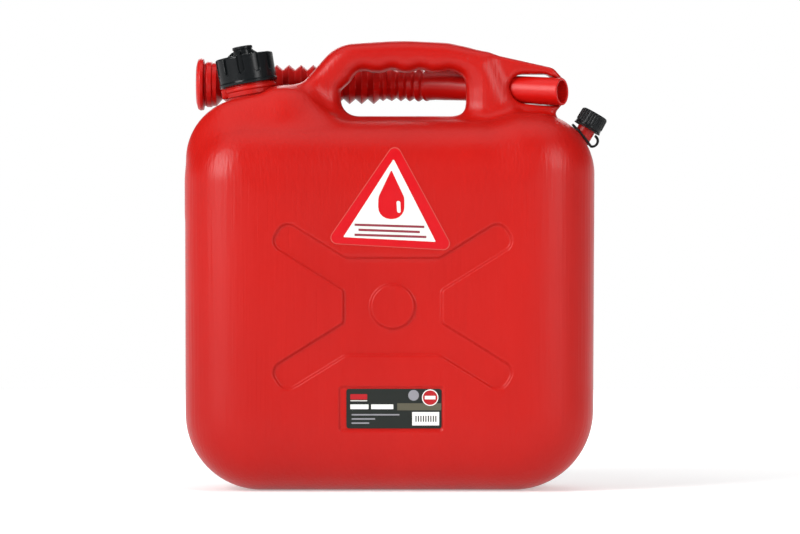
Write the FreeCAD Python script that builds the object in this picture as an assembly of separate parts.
import FreeCAD, Part
import math
import os

from FreeCAD import Placement, Rotation, Vector

# Ten litre fuel can: a blow-moulded tank with a carrying handle, a leaning filler neck with its screw
# ring and stopper, a vent cap on a leash, and a flexible pouring spout stowed through the handle's arm.
# Millimetres. X runs along the can, -Y is the front, +Z is up. The origin is on the ground, in the
# middle of the can's footprint.

# ---- driving dimensions of the tank ----
LENGTH = 320.0
DEPTH = 140.0
HEIGHT = 350.0
WALL = 2.2
EDGE_ROUND = 42.0
BOTTOM_CORNER = 59.0
LEFT_CORNER = 51.0
RIGHT_CORNER = 48.0
RIGHT_TOP = 293.0
GRIP_FLOOR = 290.3
TANK_LEFT_CORNER = 50.0
STEP_UP_X = 78.0
STEP_ROUND = 8.0
SHOULDER_SLOPE = 12.0
SHOULDER_X = -131.5
SHOULDER_Z = 301.5
CREST_X = -78.1
CREST_ROUND = 30.0
RIDGE_HALF = 26.0
RIDGE_EDGE = 20.0
RIDGE_END_X = -30.0

# ---- handle ----
GRIP_HALF = 16.0
WING_HALF = 10.0
GRIP_EDGE = 12.0
WING_EDGE = 5.0
HANDLE_ROOT_Z = 262.0
HOLE_LEFT = -38.5
HOLE_RIGHT = 61.0
HOLE_TOP = 324.4
HOLE_CORNER = 14.0
HOLE_CUT_X = 15.5
HOLE_CUT_Z = 13.2
HOLE_CUT_CORNER = 4.0
FINGER_PITCH = 22.5
FINGER_ROUND = 9.0
FINGER_RISE = 3.2
FINGER_COUNT = 4
FIRST_FINGER_X = -19.0
WINDOW_LEFT = 93.0
WINDOW_RIGHT = 127.0
WINDOW_LOW = 300.7
WINDOW_HIGH = 324.2
WINDOW_CORNER = 7.0

# ---- pressed shapes in the two flat sides ----
CROSS_Z = 143.3
CROSS_HALF = 38.5
CROSS_SIDE_HALF = 14.0
CROSS_TIP_X = 83.4
CROSS_TIP_Z = 56.8
CROSS_TIP_ROUND = 7.4
CROSS_DEPTH = 2.0
CROSS_MARGIN = 10.0
DISC_ROUND = 17.5
PANEL_Z = 64.5
PANEL_LENGTH = 81.0
PANEL_HEIGHT = 36.0
PANEL_CORNER = 2.5
PANEL_DEPTH = 1.4

# ---- labels ----
LABEL_LENGTH = 73.0
LABEL_HEIGHT = 30.3
LABEL_CORNER = 2.0
LABEL_THICK = 0.4
STICKER_GAP = 0.05
STICKER_APEX = (2.7, 262.5)
STICKER_LEFT = (-44.7, 193.6)
STICKER_RIGHT = (45.1, 188.9)
STICKER_CORNER = 4.0

# ---- filler neck, ring, stopper and seal, measured along the neck's leaning axis ----
FILLER_X = -109.0
FILLER_Z = 306.5
FILLER_LEAN = -10.0
NECK_SUNK = 14.0
COLLAR_R = 20.2
COLLAR_TOP = 9.0
BEAD_AT = 6.4
BEAD_CENTRE_R = 19.5
BEAD_R = 1.5
NECK_R = 18.7
NECK_TOP = 25.7
NECK_BORE = 16.4
THREAD_PITCH = 4.0
THREAD_HEIGHT = 1.2
THREAD_BASE = 1.7
THREAD_CREST = 0.9
THREAD_ROOT_DEPTH = 0.4
NECK_THREAD_AT = 13.6
NECK_THREAD_TURNS = 2.4
RING_THREAD_AT = 11.6
RING_THREAD_TURNS = 2.2
RING_LOW = 9.8
RING_TOP = 31.2
RING_R = 22.2
RING_FLARE = 0.5
RING_FLARE_TOP = 11.4
RING_FLARE_END = 12.4
RING_TAPER = 0.3
RING_TOP_BREAK = 1.2
RING_BORE = 20.3
RING_ROOF = 2.0
RING_MOUTH = 16.6
GRIP_GROOVES = 11
GROOVE_R = 2.6
GROOVE_AT = 23.5
GROOVE_LOW = 17.5
STOPPER_R = 19.3
STOPPER_THICK = 1.95
PLUG_R = 16.2
PLUG_TOP = 31.8
PLUG_BREAK = 0.8
BOSS_R = 7.85
BOSS_TOP = 39.8
BOSS_BREAK = 0.7
BOSS_DRAFT = 0.3
BOSS_FOOT_R = 10.5
BOSS_FOOT_TOP = 34.6
BOSS_FOOT_DRAFT = 0.6
GUSSETS = 6
GUSSET_THICK = 1.8
GUSSET_FOOT_R = 15.0
GUSSET_FOOT_LOW = 30.8
GUSSET_FOOT_TOP = 32.2
GUSSET_TOP = 37.8
SEAL_INNER = 14.0
LUG_LENGTH = 5.0
LUG_WIDTH = 4.0
LUG_LOW = 2.0
LUG_TOP = 8.4
LUG_OUT = 1.6
LUG_FRONT = 6.0

# ---- vent neck, cap, seal and leash, measured along the vent's leaning axis ----
VENT_X = 151.3
VENT_Z = 276.6
VENT_LEAN = 30.0
VENT_SUNK = 13.0
VENT_R = 7.1
VENT_BORE = 4.9
VENT_TOP = 15.6
VENT_PITCH = 2.5
VENT_THREAD_HEIGHT = 0.9
VENT_THREAD_BASE = 1.1
VENT_THREAD_CREST = 0.6
VENT_NECK_THREAD_AT = 9.2
VENT_NECK_THREAD_TURNS = 2.0
VENT_CAP_THREAD_AT = 8.0
VENT_CAP_THREAD_TURNS = 1.8
VENT_CAP_LOW = 6.9
VENT_CAP_TOP = 18.5
VENT_CAP_R = 10.9
VENT_CAP_BORE = 8.4
VENT_CAP_LIP = 0.4
VENT_CAP_LIP_TOP = 8.3
VENT_CAP_TAPER = 0.3
VENT_CAP_TOP_BREAK = 1.2
VENT_RIBS = 30
VENT_RIB_R = 0.5
VENT_RIB_TOP = 17.0
VENT_SEAL_THICK = 1.1
VENT_SEAL_PLAY = 0.5
LEASH_RING_LOW = 5.5
LEASH_RING_TOP = 6.6
LEASH_RING_R = 11.3
LEASH_RING_BORE = 8.5
LEASH_BASE_R = 11.6
LEASH_BASE_X = 150.0
LEASH_BASE_Z = 276.0
LEASH_BASE_THICK = 1.3
LEASH_BASE_PLAY = 0.3
LEASH_BASE_LEAN = 50.0
LEASH_WIDTH = 4.6
LEASH_THICK = 1.4
LEASH_LOOP_R = 4.6
LEASH_LOOP_X = 158.4
LEASH_LOOP_Z = 271.3
LEASH_LOOP_FROM = -92.0
LEASH_LOOP_TO = 52.0

# ---- stowed spout ----
TIP = Vector(137.0, -15.0, 309.5)
TUBE_TURN = 25.0
TUBE_DIP = 3.5
TUBE_LENGTH = 119.0
TUBE_R = 10.3
TUBE_BORE = 8.7
TIP_CUT = 9.0
CHANNEL_R = 11.5
CHANNEL_PAST_TIP = 30.0
BEND_R = 75.0
BEND_TUBE_R = 11.8
BEND_TUBE_BORE = 9.4
PEAK_R = 15.6
VALLEY_R = 11.6
HOSE_WALL = 1.4
FOLD_PITCH = 9.58
FOLD_COUNT = 13
FLANGE_X = -154.9
FLANGE_R = 21.1
FLANGE_THICK = 4.6
FLANGE_BACK = 3.4
FLANGE_BREAK = 0.8
FLANGE_BORE = 13.0
STEP_R = 18.6
STEP_END = 9.5
STEP_SLOPE = 0.8
SHANK_R = 16.4
SHANK_END = 16.5
LAST_PEAK_X = -13.04
NODE_GAP = 0.05


def outline(corners):
    """A flat face in the XZ plane from its corners (x, z, radius), each rounded by a tangent arc."""
    edges = []
    count = len(corners)
    spots = [Vector(corner[0], 0, corner[1]) for corner in corners]
    ends = []
    for i in range(count):
        back = (spots[i - 1] - spots[i]).normalize()
        ahead = (spots[(i + 1) % count] - spots[i]).normalize()
        half_angle = back.getAngle(ahead) / 2
        radius = corners[i][2]
        cut = radius / math.tan(half_angle)
        inset = radius / math.sin(half_angle) - radius
        middle = spots[i] + (back + ahead).normalize() * inset
        ends.append((spots[i] + back * cut, middle, spots[i] + ahead * cut))
    for i in range(count):
        start, middle, end = ends[i]
        if corners[i][2]:
            edges.append(Part.Arc(start, middle, end).toShape())
        edges.append(Part.LineSegment(end, ends[(i + 1) % count][0]).toShape())
    return Part.Face(Part.Wire(edges))


def slab(face, half):
    """The face swept evenly to both sides of the XZ plane."""
    placed = face.copy()
    placed.translate(Vector(0, -half, 0))
    return placed.extrude(Vector(0, 2 * half, 0))


def grown(face, amount):
    """The face with its outline moved outwards by the amount, or inwards when it is negative."""
    return face.makeOffset2D(amount) if amount else face


def rim_edges(solid, half):
    """The edges of a slab that lie on its two flat sides."""
    return [e for e in solid.Edges if all(abs(abs(v.Y) - half) < 1e-4 for v in e.Vertexes)
            and abs(abs(e.CenterOfMass.y) - half) < 1e-3]


def rounded_slab(face, half, round_r):
    """A slab with both of its rims rounded."""
    solid = slab(face, half)
    return solid.makeFillet(round_r, rim_edges(solid, half))


def tank_outline():
    """Front outline of the tank without its handle and the ridge under the filler."""
    half = LENGTH / 2
    return outline([
        (-half, 0, BOTTOM_CORNER),
        (half, 0, BOTTOM_CORNER),
        (half, RIGHT_TOP, RIGHT_CORNER),
        (STEP_UP_X + 2 * STEP_ROUND, RIGHT_TOP, STEP_ROUND),
        (STEP_UP_X, GRIP_FLOOR, STEP_ROUND),
        (-half, GRIP_FLOOR, TANK_LEFT_CORNER),
    ])


def ridge_outline():
    """Front outline of the narrow ridge that climbs from the left side to the handle."""
    half = LENGTH / 2
    slope = math.tan(math.radians(SHOULDER_SLOPE))
    crest_z = SHOULDER_Z + (CREST_X - SHOULDER_X) * slope
    left_z = SHOULDER_Z + (-half - SHOULDER_X) * slope
    return outline([
        (-half, HANDLE_ROOT_Z - LEFT_CORNER, 0),
        (CREST_X, HANDLE_ROOT_Z - LEFT_CORNER, 0),
        (RIDGE_END_X, HANDLE_ROOT_Z, 0),
        (CREST_X, crest_z, CREST_ROUND),
        (-half, left_z, LEFT_CORNER),
    ])


def tank(grow):
    """The tank's rounded solid, its skin moved outwards by grow."""
    return rounded_slab(grown(tank_outline(), grow), DEPTH / 2 + grow, EDGE_ROUND + grow)


def grip_outline():
    """Front outline of the grip and its two posts, running down into the tank."""
    return outline([
        (-92.0, HANDLE_ROOT_Z, 0),
        (98.0, HANDLE_ROOT_Z, 0),
        (98.0, 299.0, 20.0),
        (77.5, 340.1, 7.0),
        (62.0, 344.8, 60.0),
        (45.0, 348.4, 60.0),
        (8.0, HEIGHT + 0.2, 250.0),
        (-41.8, 346.9, 32.0),
        (-70.0, 314.7, 22.0),
        (-92.0, 310.0, 0),
    ])


def wing_outline():
    """Front outline of the handle's thinner right arm, which the spout's tip passes through."""
    return outline([
        (60.0, HANDLE_ROOT_Z, 0),
        (118.0, HANDLE_ROOT_Z, 0),
        (129.2, 284.0, 0),
        (129.2, 293.5, 6.0),
        (136.8, 303.0, 8.0),
        (137.0, 318.0, 8.0),
        (127.5, 328.3, 8.0),
        (72.0, 341.2, 0),
        (60.0, 341.2, 0),
    ])


def hole_outline():
    """Front outline of the hand opening without its finger hollows."""
    return outline([
        (HOLE_LEFT, GRIP_FLOOR, HOLE_CORNER),
        (HOLE_RIGHT, GRIP_FLOOR, HOLE_CORNER),
        (HOLE_RIGHT, HOLE_TOP, HOLE_CORNER),
        (HOLE_LEFT + HOLE_CUT_X, HOLE_TOP, HOLE_CUT_CORNER),
        (HOLE_LEFT, HOLE_TOP - HOLE_CUT_Z, HOLE_CUT_CORNER),
    ])


def hand_hole(grow):
    """The hand opening with a hollow for each finger, cut wider by grow."""
    hole = slab(grown(hole_outline(), grow), DEPTH)
    for finger in range(FINGER_COUNT):
        x = FIRST_FINGER_X + finger * FINGER_PITCH
        base = Vector(x, -DEPTH, HOLE_TOP + FINGER_RISE - FINGER_ROUND)
        hole = hole.fuse(Part.makeCylinder(FINGER_ROUND + grow, 2 * DEPTH, base, Vector(0, 1, 0)))
    return hole


def window_outline():
    """Front outline of the window that the spout's tip shows through."""
    left_round = (WINDOW_HIGH - WINDOW_LOW) / 2 - 0.1
    return outline([
        (WINDOW_LEFT, WINDOW_LOW, left_round),
        (WINDOW_RIGHT, WINDOW_LOW, WINDOW_CORNER),
        (WINDOW_RIGHT, WINDOW_HIGH, WINDOW_CORNER),
        (WINDOW_LEFT, WINDOW_HIGH, left_round),
    ])


def tube_direction():
    """Unit vector along the spout's straight tube, out of its tip."""
    turn = math.radians(TUBE_TURN)
    dip = math.radians(TUBE_DIP)
    return Vector(math.cos(dip) * math.cos(turn), -math.cos(dip) * math.sin(turn), -math.sin(dip))


def channel(grow):
    """The slanting passage that clears the spout's tube through the handle."""
    along = tube_direction()
    start = TIP - along * (TUBE_LENGTH - CHANNEL_PAST_TIP)
    return Part.makeCylinder(CHANNEL_R + grow, TUBE_LENGTH, start, along)


def spout_line():
    """Corner where the hose's line meets the tube's line, the bend's angle and its turning axis."""
    along = tube_direction()
    level = Vector(1, 0, 0)
    angle = level.getAngle(along)
    corner = TIP - along * (TUBE_LENGTH + BEND_R * math.tan(angle / 2))
    return corner, angle, level.cross(along).normalize()


def bulk(grow):
    """Tank, ridge and handle in one solid with the hand hole and the spout's window cut through."""
    grip = rounded_slab(grown(grip_outline(), grow), GRIP_HALF + grow, GRIP_EDGE + grow)
    wing = rounded_slab(grown(wing_outline(), grow), WING_HALF + grow, WING_EDGE + grow)
    ridge = rounded_slab(grown(ridge_outline(), grow), RIDGE_HALF + grow, RIDGE_EDGE + grow)
    solid = tank(grow).fuse([ridge, grip, wing])
    window = slab(grown(window_outline(), -grow), DEPTH)
    return solid.cut([hand_hole(-grow), window, channel(-grow)])


def cross_face():
    """Outline of the pressed X with round ends, without its middle disc."""
    side = CROSS_HALF
    low = CROSS_SIDE_HALF
    reach = math.hypot(CROSS_TIP_X, CROSS_TIP_Z)
    across_x = CROSS_TIP_ROUND * CROSS_TIP_Z / reach
    across_z = CROSS_TIP_ROUND * CROSS_TIP_X / reach
    quarter = [
        (side, low),
        (CROSS_TIP_X + across_x, CROSS_TIP_Z - across_z),
        (CROSS_TIP_X - across_x, CROSS_TIP_Z + across_z),
        (side, side),
    ]
    loop = []
    for sign_x, sign_z in ((1, 1), (-1, 1), (-1, -1), (1, -1)):
        corners = [(sign_x * x, sign_z * z) for x, z in quarter]
        loop += corners if sign_x * sign_z > 0 else corners[::-1]
    points = [Vector(x, 0, z + CROSS_Z) for x, z in loop]
    return Part.Face(Part.makePolygon(points + points[:1]))


def cross_press(depth):
    """The solid between the flat sides that the pressed X takes away, for both sides at once."""
    half = DEPTH / 2
    bars = slab(cross_face(), half + 1)
    for x in (-CROSS_TIP_X, CROSS_TIP_X):
        for z in (CROSS_Z - CROSS_TIP_Z, CROSS_Z + CROSS_TIP_Z):
            bars = bars.fuse(Part.makeCylinder(CROSS_TIP_ROUND, DEPTH + 2, Vector(x, -half - 1, z),
                                               Vector(0, 1, 0)))
    disc = Part.makeCylinder(DISC_ROUND, DEPTH + 2, Vector(0, -half - 1, CROSS_Z), Vector(0, 1, 0))
    core = Part.makeBox(LENGTH, DEPTH - 2 * depth, HEIGHT, Vector(-LENGTH / 2, -half + depth, 0))
    return bars.cut([disc, core])


def plate_face(length, height, corner):
    """A rounded rectangle about the label's middle."""
    return outline([
        (-length / 2, PANEL_Z - height / 2, corner),
        (length / 2, PANEL_Z - height / 2, corner),
        (length / 2, PANEL_Z + height / 2, corner),
        (-length / 2, PANEL_Z + height / 2, corner),
    ])


def lathe(points):
    """A solid turned about Z from the closed section given as (radius, height) points."""
    loop = [Vector(r, 0, w) for r, w in points]
    return Part.Face(Part.makePolygon(loop + loop[:1])).revolve(Vector(0, 0, 0), Vector(0, 0, 1), 360)


def pipe(outer, bore, low, high):
    """A plain tube about Z."""
    return lathe([(bore, low), (outer, low), (outer, high), (bore, high)])


def thread(root, tip, base, crest, pitch, turns, start):
    """A helical ridge about Z whose flanks run from the root radius to the tip radius."""
    sunk = root - math.copysign(THREAD_ROOT_DEPTH, tip - root)
    loop = [Vector(sunk, 0, start - base / 2), Vector(tip, 0, start - crest / 2),
            Vector(tip, 0, start + crest / 2), Vector(sunk, 0, start + base / 2)]
    helix = Part.makeHelix(pitch, pitch * turns, root)
    helix.translate(Vector(0, 0, start))
    return Part.Wire(helix.Edges).makePipeShell([Part.makePolygon(loop + loop[:1])], True, True)


def leaning(solid, x, z, lean):
    """The solid moved from the Z axis onto an axis that leans towards +X from its foot."""
    placed = solid.copy()
    frame = Placement(Vector(x, 0, z), Rotation(Vector(0, 1, 0), lean))
    placed.Placement = frame.multiply(placed.Placement)
    return placed


def on_filler(solid):
    """The solid moved from the Z axis onto the filler neck's axis."""
    return leaning(solid, FILLER_X, FILLER_Z, FILLER_LEAN)


def on_vent(solid):
    """The solid moved from the Z axis onto the vent neck's axis."""
    return leaning(solid, VENT_X, VENT_Z, VENT_LEAN)


def filler_neck():
    """Collar with its rolled bead, thread core and thread, bored through by can_body."""
    bead = Part.makeTorus(BEAD_CENTRE_R, BEAD_R, Vector(0, 0, BEAD_AT), Vector(0, 0, 1))
    lug_corner = Vector(-COLLAR_R - LUG_OUT, -LUG_WIDTH - LUG_FRONT, LUG_LOW)
    lug = Part.makeBox(LUG_LENGTH, LUG_WIDTH, LUG_TOP - LUG_LOW, lug_corner)
    solid = Part.makeCylinder(COLLAR_R, COLLAR_TOP + NECK_SUNK, Vector(0, 0, -NECK_SUNK))
    core = Part.makeCylinder(NECK_R, NECK_TOP - COLLAR_TOP + 1, Vector(0, 0, COLLAR_TOP - 1))
    ridge = thread(NECK_R, NECK_R + THREAD_HEIGHT, THREAD_BASE, THREAD_CREST, THREAD_PITCH,
                   NECK_THREAD_TURNS, NECK_THREAD_AT)
    return solid.fuse([core, bead, lug]).fuse(ridge)


def vent_neck():
    """Plain foot and threaded top of the vent's neck, bored through by can_body."""
    core = Part.makeCylinder(VENT_R, VENT_TOP + VENT_SUNK, Vector(0, 0, -VENT_SUNK))
    ridge = thread(VENT_R, VENT_R + VENT_THREAD_HEIGHT, VENT_THREAD_BASE, VENT_THREAD_CREST,
                   VENT_PITCH, VENT_NECK_THREAD_TURNS, VENT_NECK_THREAD_AT)
    return core.fuse(ridge)


def can_body():
    """The hollow moulding: skin, necks, pressed X on both sides and the label's recess."""
    outer = bulk(0.0)
    panel = slab(plate_face(PANEL_LENGTH, PANEL_HEIGHT, PANEL_CORNER), DEPTH)
    behind_panel = Vector(-LENGTH / 2, -DEPTH / 2 + PANEL_DEPTH, 0)
    panel_core = Part.makeBox(LENGTH, DEPTH, HEIGHT, behind_panel)
    outer = outer.cut([cross_press(CROSS_DEPTH), panel.cut(panel_core)])
    wall = WALL + CROSS_DEPTH
    core = Part.makeBox(LENGTH, DEPTH - 2 * wall, HEIGHT, Vector(-LENGTH / 2, -DEPTH / 2 + wall, 0))
    inner = bulk(-WALL)
    zone_half = CROSS_TIP_X + CROSS_TIP_ROUND + CROSS_MARGIN
    zone_top = CROSS_Z + CROSS_TIP_Z + CROSS_MARGIN
    flat_zone = Part.makeBox(2 * zone_half, DEPTH, zone_top, Vector(-zone_half, -DEPTH / 2, 0))
    inner = inner.cut(flat_zone.cut(core))
    bore = Part.makeCylinder(NECK_BORE, NECK_TOP + 2 * NECK_SUNK, Vector(0, 0, -2 * NECK_SUNK))
    vent_bore = Part.makeCylinder(VENT_BORE, VENT_TOP + 2 * VENT_SUNK, Vector(0, 0, -2 * VENT_SUNK))
    solid = outer.fuse([on_filler(filler_neck()), on_vent(vent_neck())])
    return solid.cut([inner, on_filler(bore), on_vent(vent_bore)])


def filler_cap_ring():
    """Screw ring with U-shaped grip grooves, an inner thread and a roof that holds the stopper down."""
    ring = lathe([
        (RING_BORE, RING_LOW),
        (RING_R + RING_FLARE, RING_LOW),
        (RING_R + RING_FLARE, RING_FLARE_TOP),
        (RING_R, RING_FLARE_END),
        (RING_R - RING_TAPER, RING_TOP - RING_TOP_BREAK),
        (RING_R - RING_TAPER - RING_TOP_BREAK, RING_TOP),
        (RING_MOUTH, RING_TOP),
        (RING_MOUTH, RING_TOP - RING_ROOF),
        (RING_BORE, RING_TOP - RING_ROOF),
    ])
    groove = Part.makeCylinder(GROOVE_R, RING_TOP, Vector(GROOVE_AT, 0, GROOVE_LOW))
    groove = groove.fuse(Part.makeSphere(GROOVE_R, Vector(GROOVE_AT, 0, GROOVE_LOW)))
    grooves = []
    for i in range(GRIP_GROOVES):
        turned = groove.copy()
        turned.rotate(Vector(0, 0, 0), Vector(0, 0, 1), 360.0 * i / GRIP_GROOVES)
        grooves.append(turned)
    ridge = thread(RING_BORE, RING_BORE - THREAD_HEIGHT, THREAD_BASE, THREAD_CREST, THREAD_PITCH,
                   RING_THREAD_TURNS, RING_THREAD_AT)
    return on_filler(ring.cut(grooves).fuse(ridge))


def filler_stopper():
    """Disc clamped under the ring's roof, with a plug, a stepped boss and gussets on top."""
    under = RING_TOP - RING_ROOF - NODE_GAP
    disc = lathe([
        (0, under - STOPPER_THICK),
        (STOPPER_R, under - STOPPER_THICK),
        (STOPPER_R, under),
        (PLUG_R, under),
        (PLUG_R, PLUG_TOP - PLUG_BREAK),
        (PLUG_R - PLUG_BREAK, PLUG_TOP),
        (BOSS_FOOT_R, PLUG_TOP),
        (BOSS_FOOT_R - BOSS_FOOT_DRAFT, BOSS_FOOT_TOP),
        (BOSS_R + BOSS_DRAFT, BOSS_FOOT_TOP),
        (BOSS_R, BOSS_TOP - BOSS_BREAK),
        (BOSS_R - BOSS_BREAK, BOSS_TOP),
        (0, BOSS_TOP),
    ])
    profile = [
        Vector(0, 0, GUSSET_FOOT_LOW),
        Vector(GUSSET_FOOT_R, 0, GUSSET_FOOT_LOW),
        Vector(GUSSET_FOOT_R, 0, GUSSET_FOOT_TOP),
        Vector(BOSS_R, 0, GUSSET_TOP),
        Vector(0, 0, GUSSET_TOP),
    ]
    fin = Part.Face(Part.makePolygon(profile + profile[:1]))
    fin.translate(Vector(0, -GUSSET_THICK / 2, 0))
    fin = fin.extrude(Vector(0, GUSSET_THICK, 0))
    fins = []
    for i in range(GUSSETS):
        turned = fin.copy()
        turned.rotate(Vector(0, 0, 0), Vector(0, 0, 1), 360.0 * i / GUSSETS)
        fins.append(turned)
    return on_filler(disc.fuse(fins))


def filler_seal():
    """Flat gasket between the stopper's disc and the neck's rim."""
    top = RING_TOP - RING_ROOF - NODE_GAP - STOPPER_THICK
    return on_filler(pipe(STOPPER_R, SEAL_INNER, NECK_TOP + NODE_GAP, top))


def vent_cap():
    """Small ribbed cup with an inner thread."""
    core_r = VENT_CAP_R - VENT_RIB_R
    cup = lathe([
        (VENT_CAP_BORE, VENT_CAP_LOW),
        (core_r + VENT_CAP_LIP, VENT_CAP_LOW),
        (core_r, VENT_CAP_LIP_TOP),
        (core_r - VENT_CAP_TAPER, VENT_CAP_TOP - VENT_CAP_TOP_BREAK),
        (core_r - VENT_CAP_TAPER - VENT_CAP_TOP_BREAK, VENT_CAP_TOP),
        (0, VENT_CAP_TOP),
        (0, VENT_TOP + VENT_SEAL_THICK + NODE_GAP),
        (VENT_CAP_BORE, VENT_TOP + VENT_SEAL_THICK + NODE_GAP),
    ])
    ribs = []
    for i in range(VENT_RIBS):
        angle = 2 * math.pi * i / VENT_RIBS
        foot = Vector(core_r * math.cos(angle), core_r * math.sin(angle), VENT_CAP_LIP_TOP)
        ribs.append(Part.makeCylinder(VENT_RIB_R, VENT_RIB_TOP - VENT_CAP_LIP_TOP, foot))
    ridge = thread(VENT_CAP_BORE, VENT_CAP_BORE - VENT_THREAD_HEIGHT, VENT_THREAD_BASE,
                   VENT_THREAD_CREST, VENT_PITCH, VENT_CAP_THREAD_TURNS, VENT_CAP_THREAD_AT)
    return on_vent(cup.fuse(ribs).fuse(ridge))


def vent_seal():
    """Disc of rubber in the vent cap's roof, pressed on the neck's rim."""
    foot = Vector(0, 0, VENT_TOP + NODE_GAP)
    return on_vent(Part.makeCylinder(VENT_CAP_BORE - VENT_SEAL_PLAY, VENT_SEAL_THICK - NODE_GAP, foot))


def tether_cap_ring():
    """Loop of the leash that turns freely under the vent cap's lip."""
    return on_vent(pipe(LEASH_RING_R, LEASH_RING_BORE, LEASH_RING_LOW, LEASH_RING_TOP))


def tether_base_ring():
    """Loop of the leash that lies on the shoulder round the vent neck's foot."""
    washer = Part.makeCylinder(LEASH_BASE_R, LEASH_BASE_THICK, Vector(0, 0, -LEASH_BASE_THICK / 2))
    washer = leaning(washer, LEASH_BASE_X, LEASH_BASE_Z, LEASH_BASE_LEAN)
    foot = Part.makeCylinder(VENT_R + LEASH_BASE_PLAY, 4 * VENT_SUNK, Vector(0, 0, -2 * VENT_SUNK))
    return washer.cut(on_vent(foot))


def tether_strap():
    """Curled band between the leash's two loops."""
    def spot(radius, angle):
        turn = math.radians(angle)
        return Vector(LEASH_LOOP_X + radius * math.cos(turn), 0, LEASH_LOOP_Z + radius * math.sin(turn))

    inner = LEASH_LOOP_R - LEASH_THICK / 2
    outer = LEASH_LOOP_R + LEASH_THICK / 2
    halfway = (LEASH_LOOP_FROM + LEASH_LOOP_TO) / 2
    band = Part.Wire([
        Part.Arc(*[spot(outer, a) for a in (LEASH_LOOP_FROM, halfway, LEASH_LOOP_TO)]).toShape(),
        Part.LineSegment(spot(outer, LEASH_LOOP_TO), spot(inner, LEASH_LOOP_TO)).toShape(),
        Part.Arc(*[spot(inner, a) for a in (LEASH_LOOP_TO, halfway, LEASH_LOOP_FROM)]).toShape(),
        Part.LineSegment(spot(inner, LEASH_LOOP_FROM), spot(outer, LEASH_LOOP_FROM)).toShape(),
    ])
    return slab(Part.Face(band), LEASH_WIDTH / 2)


def spout_hose():
    """Flange, stepped collar and large bellows of the spout, along its level line."""
    corner, angle, _ = spout_line()
    end = corner.x - BEND_R * math.tan(angle / 2) - NODE_GAP - FLANGE_X
    outer = [
        (FLANGE_R - FLANGE_BREAK, 0.0),
        (FLANGE_R, FLANGE_BREAK),
        (FLANGE_R, FLANGE_BACK),
        (STEP_R, FLANGE_THICK),
        (STEP_R, STEP_END),
        (SHANK_R, STEP_END + STEP_SLOPE),
        (SHANK_R, SHANK_END),
    ]
    inner = [(FLANGE_BORE, 0.0), (FLANGE_BORE, SHANK_END)]
    first = LAST_PEAK_X - (FOLD_COUNT - 1) * FOLD_PITCH - FLANGE_X
    for i in range(FOLD_COUNT):
        peak = first + i * FOLD_PITCH
        valley = peak - FOLD_PITCH / 2
        outer += [(VALLEY_R, valley), (PEAK_R, peak)]
        inner += [(VALLEY_R - HOSE_WALL, valley), (PEAK_R - HOSE_WALL, peak)]
    last = first + (FOLD_COUNT - 0.5) * FOLD_PITCH
    outer += [(VALLEY_R, last), (BEND_TUBE_R, end)]
    inner += [(VALLEY_R - HOSE_WALL, last), (BEND_TUBE_BORE, end)]
    hose = lathe(outer + inner[::-1])
    hose.rotate(Vector(0, 0, 0), Vector(0, 1, 0), 90)
    hose.translate(Vector(FLANGE_X, corner.y, corner.z))
    return hose


def spout_bend():
    """Plain solid of the small bellows where the spout bends."""
    corner, angle, axis = spout_line()
    start = corner - Vector(1, 0, 0) * (BEND_R * math.tan(angle / 2))
    along = tube_direction()
    inward = (along - Vector(1, 0, 0) * along.x).normalize()
    centre = start + inward * BEND_R
    bent = []
    for radius in (BEND_TUBE_R, BEND_TUBE_BORE):
        rim = Part.Face(Part.Wire(Part.makeCircle(radius, start, Vector(1, 0, 0))))
        bent.append(rim.revolve(centre, axis, math.degrees(angle)))
    return bent[0].cut(bent[1])


def spout_tube():
    """Smooth straight tube that ends in the slightly slanted pouring tip."""
    along = tube_direction()
    root = TIP - along * (TUBE_LENGTH - NODE_GAP)
    tube = Part.makeCylinder(TUBE_R, TUBE_LENGTH + 4, root, along)
    bore = Part.makeCylinder(TUBE_BORE, TUBE_LENGTH + 6, root - along, along)
    facing = Rotation(Vector(0, 0, 1), -TUBE_TURN - TIP_CUT)
    cutter = Part.makeBox(DEPTH, DEPTH, DEPTH, Vector(0, -DEPTH / 2, -DEPTH / 2))
    cutter.Placement = Placement(TIP, facing)
    return tube.cut([bore, cutter])


def product_label():
    """Rounded plate lying on the floor of its recess."""
    face = plate_face(LABEL_LENGTH, LABEL_HEIGHT, LABEL_CORNER)
    face.translate(Vector(0, -DEPTH / 2 + PANEL_DEPTH - STICKER_GAP - LABEL_THICK, 0))
    return face.extrude(Vector(0, LABEL_THICK, 0))


def front_sticker():
    """Triangular sticker that follows the front and the start of the shoulder's round."""
    prism = outline([
        (STICKER_LEFT[0], STICKER_LEFT[1], STICKER_CORNER),
        (STICKER_RIGHT[0], STICKER_RIGHT[1], STICKER_CORNER),
        (STICKER_APEX[0], STICKER_APEX[1], STICKER_CORNER),
    ]).extrude(Vector(0, -DEPTH, 0))
    skin = tank(STICKER_GAP + LABEL_THICK).cut(tank(STICKER_GAP))
    return skin.common(prism)


os.makedirs("parts", exist_ok=True)
NODES = {
    "can_body": can_body,
    "filler_cap_ring": filler_cap_ring,
    "filler_stopper": filler_stopper,
    "filler_seal": filler_seal,
    "vent_cap": vent_cap,
    "vent_seal": vent_seal,
    "tether_cap_ring": tether_cap_ring,
    "tether_base_ring": tether_base_ring,
    "tether_strap": tether_strap,
    "spout_hose": spout_hose,
    "spout_bend": spout_bend,
    "spout_tube": spout_tube,
    "product_label": product_label,
    "front_sticker": front_sticker,
}
for name, make in NODES.items():
    shape = make()
    print(name, shape.isValid(), len(shape.Solids), "solid,", round(shape.Volume / 1000, 2), "cm3")
    shape.exportStep("parts/" + name + ".step")
